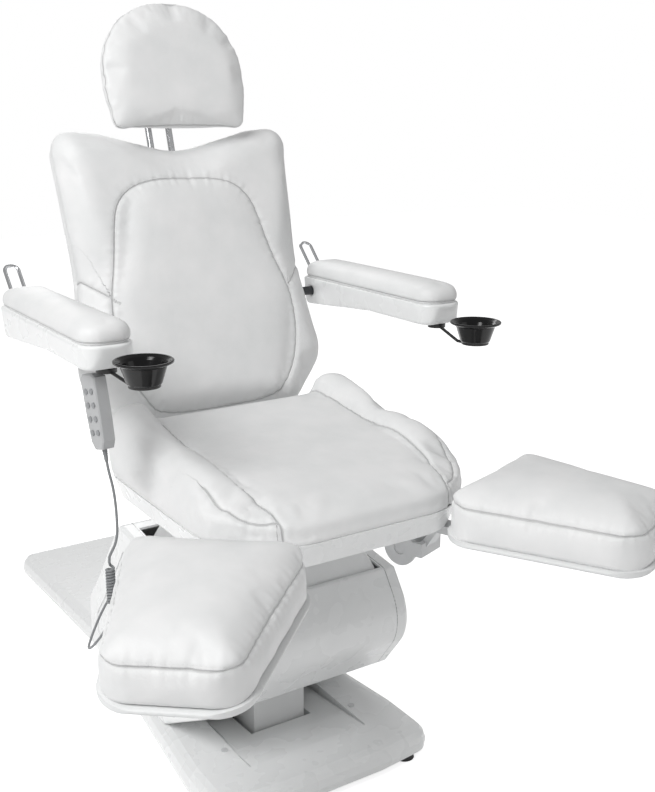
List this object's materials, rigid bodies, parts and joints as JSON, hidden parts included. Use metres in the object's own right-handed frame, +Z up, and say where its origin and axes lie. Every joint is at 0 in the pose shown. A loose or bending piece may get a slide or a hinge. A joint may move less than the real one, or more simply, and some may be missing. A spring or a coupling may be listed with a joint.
{
  "type": "podiatry chair",
  "caption": "Adjustable podiatry chair on a lift column, with reclining backrest, headrest, folding armrests with bowls, swinging leg rests and a wired handset.",
  "frame": {"origin": "bottom centre of the chair's bounding box at rest, on the floor", "axes": "+Z up, -Y towards the sitter's feet, +X towards the right side as seen from the front"},
  "size_m": [1.0039, 1.8452, 1.5108],
  "materials": {
    "shell_white": "smooth white moulded plastic",
    "upholstery": "white upholstery, fine grain",
    "steel_dark": "dark powder coat",
    "steel_light": "light powder coat",
    "chrome": "bright chrome",
    "rubber_black": "black rubber",
    "black_gloss": "polished black",
    "black_metal": "black satin paint",
    "grey_plastic": "light grey moulded plastic",
    "button_grey": "grey button caps",
    "cord_grey": "grey cord jacket"
  },
  "bodies": {
    "base": {"base_cover": "shell_white", "base_insert": "shell_white", "base_frame": "steel_dark", "base_feet": "rubber_black", "cover_screws": "grey_plastic", "housing_shell": "shell_white", "housing_cap_left": "shell_white", "housing_cap_right": "shell_white", "lift_sleeve": "steel_dark", "lift_motor": "steel_dark", "cord_socket": "grey_plastic", "cord_plug": "cord_grey", "cord_coil": "cord_grey", "cord_stretch_1": "cord_grey", "cord_stretch_2": "cord_grey"},
    "lift": {"lift_mast": "steel_dark", "lift_cover": "shell_white", "tilt_bracket": "steel_dark"},
    "seat": {"seat_frame": "steel_dark", "seat_shell": "shell_white", "seat_cushion": "upholstery", "control_box": "grey_plastic"},
    "back": {"back_frame": "steel_dark", "back_shell": "shell_white", "back_cushion": "upholstery"},
    "headrest_slide": {"headrest_rods": "chrome", "headrest_clamp": "grey_plastic"},
    "headrest": {"headrest_plate": "steel_dark", "headrest_cushion": "upholstery"},
    "handset": {"handset_shell": "grey_plastic", "cord_relief": "cord_grey"},
    "arm_left": {"arm_body_left": "shell_white", "arm_pad_left": "upholstery", "handset_hook": "grey_plastic"},
    "loop_left": {"arm_loop_left": "chrome"},
    "bowl_holder_left": {"bowl_arm_left": "black_metal"},
    "bowl_left": {"bowl_left": "black_gloss"},
    "leg_swing_left": {"leg_bracket_left": "steel_light"},
    "leg_pitch_left": {"leg_arm_left": "steel_light"},
    "leg_slide_left": {"leg_rail_left": "steel_light", "leg_board_left": "shell_white", "leg_pad_left": "upholstery"},
    "arm_right": {"arm_body_right": "shell_white", "arm_pad_right": "upholstery"},
    "loop_right": {"arm_loop_right": "chrome"},
    "bowl_holder_right": {"bowl_arm_right": "black_metal"},
    "bowl_right": {"bowl_right": "black_gloss"},
    "leg_swing_right": {"leg_bracket_right": "steel_light"},
    "leg_pitch_right": {"leg_arm_right": "steel_light"},
    "leg_slide_right": {"leg_rail_right": "steel_light", "leg_board_right": "shell_white", "leg_pad_right": "upholstery"},
    "button_1": {"handset_button_1": "button_grey"},
    "button_2": {"handset_button_2": "button_grey"},
    "button_3": {"handset_button_3": "button_grey"},
    "button_4": {"handset_button_4": "button_grey"},
    "button_5": {"handset_button_5": "button_grey"},
    "button_6": {"handset_button_6": "button_grey"},
    "button_7": {"handset_button_7": "button_grey"},
    "button_8": {"handset_button_8": "button_grey"}
  },
  "joints": [
    {"name": "lift", "type": "slide", "parent": "base", "child": "lift", "axis": [0, 0, 1], "range_m": [0, 0.16]},
    {"name": "seat_tilt", "type": "hinge", "parent": "lift", "child": "seat", "pos_m": [0.076, -0.061, 0.541], "axis": [-1, 0, 0], "range_deg": [0, 12]},
    {"name": "back_recline", "type": "hinge", "parent": "seat", "child": "back", "pos_m": [0.076, 0.029, 0.622], "axis": [-1, 0, 0], "range_deg": [0, 70]},
    {"name": "headrest_height", "type": "slide", "parent": "back", "child": "headrest_slide", "axis": [0, 0.2823, 0.9593], "range_m": [0, 0.1]},
    {"name": "headrest_tilt", "type": "hinge", "parent": "headrest_slide", "child": "headrest", "pos_m": [0.076, 0.31071, 1.3507], "axis": [-1, 0, 0], "range_deg": [0, 35]},
    {"name": "arm_fold_left", "type": "hinge", "parent": "back", "child": "arm_left", "pos_m": [-0.279, 0.147, 0.885], "axis": [-1, 0, 0], "range_deg": [0, 70]},
    {"name": "loop_lever_left", "type": "hinge", "parent": "arm_left", "child": "loop_left", "pos_m": [-0.279, 0.173, 0.9], "axis": [-1, 0, 0], "range_deg": [0, 15], "stiffness_Nm_per_rad": 0.8},
    {"name": "bowl_swing_left", "type": "hinge", "parent": "arm_left", "child": "bowl_holder_left", "pos_m": [-0.279, -0.263, 0.872], "axis": [0, 0, 1], "range_deg": [-25, 60]},
    {"name": "bowl_lift_left", "type": "slide", "parent": "bowl_holder_left", "child": "bowl_left", "axis": [0, 0, 1], "range_m": [0, 0.1]},
    {"name": "leg_swing_left", "type": "hinge", "parent": "seat", "child": "leg_swing_left", "pos_m": [-0.064, -0.356, 0.492], "axis": [0, 0, -1], "range_deg": [-29, 9]},
    {"name": "leg_pitch_left", "type": "hinge", "parent": "leg_swing_left", "child": "leg_pitch_left", "pos_m": [-0.11435, -0.41817, 0.492], "axis": [0.7771, -0.6293, 0], "range_deg": [-3, 30]},
    {"name": "leg_extend_left", "type": "slide", "parent": "leg_pitch_left", "child": "leg_slide_left", "axis": [-0.6264, -0.7736, -0.0958], "range_m": [0, 0.11]},
    {"name": "arm_fold_right", "type": "hinge", "parent": "back", "child": "arm_right", "pos_m": [0.431, 0.147, 0.885], "axis": [-1, 0, 0], "range_deg": [0, 70]},
    {"name": "loop_lever_right", "type": "hinge", "parent": "arm_right", "child": "loop_right", "pos_m": [0.431, 0.173, 0.9], "axis": [-1, 0, 0], "range_deg": [0, 15], "stiffness_Nm_per_rad": 0.8},
    {"name": "bowl_swing_right", "type": "hinge", "parent": "arm_right", "child": "bowl_holder_right", "pos_m": [0.431, -0.263, 0.872], "axis": [0, 0, 1], "range_deg": [-60, 15]},
    {"name": "bowl_lift_right", "type": "slide", "parent": "bowl_holder_right", "child": "bowl_right", "axis": [0, 0, 1], "range_m": [0, 0.1]},
    {"name": "leg_swing_right", "type": "hinge", "parent": "seat", "child": "leg_swing_right", "pos_m": [0.216, -0.356, 0.492], "axis": [0, 0, 1], "range_deg": [-10, 26]},
    {"name": "leg_pitch_right", "type": "hinge", "parent": "leg_swing_right", "child": "leg_pitch_right", "pos_m": [0.24336, -0.43118, 0.492], "axis": [0.9397, 0.342, 0], "range_deg": [0, 30]},
    {"name": "leg_extend_right", "type": "slide", "parent": "leg_pitch_right", "child": "leg_slide_right", "axis": [0.342, -0.9397, 0], "range_m": [0, 0.11]},
    {"name": "handset_unhook", "type": "slide", "parent": "arm_left", "child": "handset", "axis": [-0.9848, -0.1736, 0], "range_m": [0, 0.08]},
    {"name": "button_press_1", "type": "slide", "parent": "handset", "child": "button_1", "axis": [0.9848, 0.1736, 0], "range_m": [0, 0.001], "stiffness_N_per_m": 600},
    {"name": "button_press_2", "type": "slide", "parent": "handset", "child": "button_2", "axis": [0.9848, 0.1736, 0], "range_m": [0, 0.001], "stiffness_N_per_m": 600},
    {"name": "button_press_3", "type": "slide", "parent": "handset", "child": "button_3", "axis": [0.9848, 0.1736, 0], "range_m": [0, 0.001], "stiffness_N_per_m": 600},
    {"name": "button_press_4", "type": "slide", "parent": "handset", "child": "button_4", "axis": [0.9848, 0.1736, 0], "range_m": [0, 0.001], "stiffness_N_per_m": 600},
    {"name": "button_press_5", "type": "slide", "parent": "handset", "child": "button_5", "axis": [0.9848, 0.1736, 0], "range_m": [0, 0.001], "stiffness_N_per_m": 600},
    {"name": "button_press_6", "type": "slide", "parent": "handset", "child": "button_6", "axis": [0.9848, 0.1736, 0], "range_m": [0, 0.001], "stiffness_N_per_m": 600},
    {"name": "button_press_7", "type": "slide", "parent": "handset", "child": "button_7", "axis": [0.9848, 0.1736, 0], "range_m": [0, 0.001], "stiffness_N_per_m": 600},
    {"name": "button_press_8", "type": "slide", "parent": "handset", "child": "button_8", "axis": [0.9848, 0.1736, 0], "range_m": [0, 0.001], "stiffness_N_per_m": 600}
  ]
}
